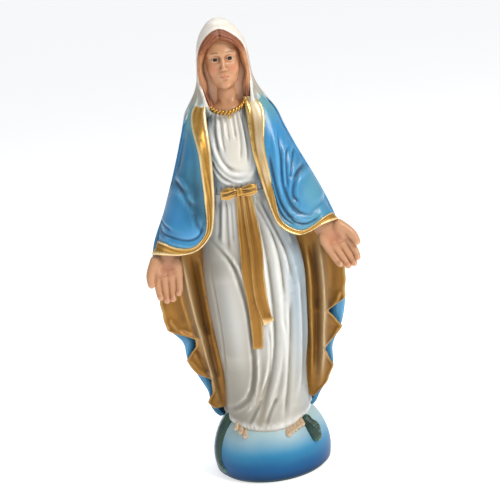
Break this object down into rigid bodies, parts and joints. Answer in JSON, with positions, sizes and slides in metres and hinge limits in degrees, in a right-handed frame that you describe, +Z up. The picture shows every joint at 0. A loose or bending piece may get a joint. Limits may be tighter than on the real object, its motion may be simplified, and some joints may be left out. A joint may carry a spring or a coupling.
{
  "type": "madonna statue",
  "caption": "Standing robed figure with open lowered hands, in a veil and a wide mantle, on a globe with a flat base.",
  "frame": {"origin": "centre of the flat underside of the felt pad", "axes": "+Z up through the head, -Y the way the figure faces, +X to the viewer's right"},
  "size_m": [0.1364, 0.0788, 0.3],
  "materials": {
    "robe_white": "satin",
    "veil_cream": "satin",
    "mantle_blue": "satin",
    "gold_leaf": "gloss",
    "skin": "satin",
    "hair_brown": "satin",
    "snake_green": "satin",
    "globe_paint": "gloss",
    "eye_glass": "gloss",
    "steel": "satin",
    "felt": "matte"
  },
  "bodies": {
    "root": {"felt_pad": "felt", "globe": "globe_paint", "armature_rod": "steel", "gown_skirt": "robe_white", "gown_bodice": "robe_white", "foot_right": "skin", "foot_left": "skin", "snake_head": "snake_green", "snake_tail": "snake_green", "head": "skin", "eye_left": "eye_glass", "eye_right": "eye_glass", "hair": "hair_brown", "veil": "veil_cream", "mantle": "mantle_blue", "cape_left": "mantle_blue", "cape_right": "mantle_blue", "cape_band_left": "gold_leaf", "cape_band_right": "gold_leaf", "mantle_lining_left": "gold_leaf", "mantle_lining_right": "gold_leaf", "arm_left": "robe_white", "arm_right": "robe_white", "hand_left": "skin", "hand_right": "skin", "wrist_pin_left": "steel", "wrist_pin_right": "steel", "sash_knot": "gold_leaf", "sash_loop_left": "gold_leaf", "sash_loop_right": "gold_leaf", "sash_tail_long": "gold_leaf", "sash_tail_short": "gold_leaf", "neckline_band": "gold_leaf"}
  },
  "joints": []
}
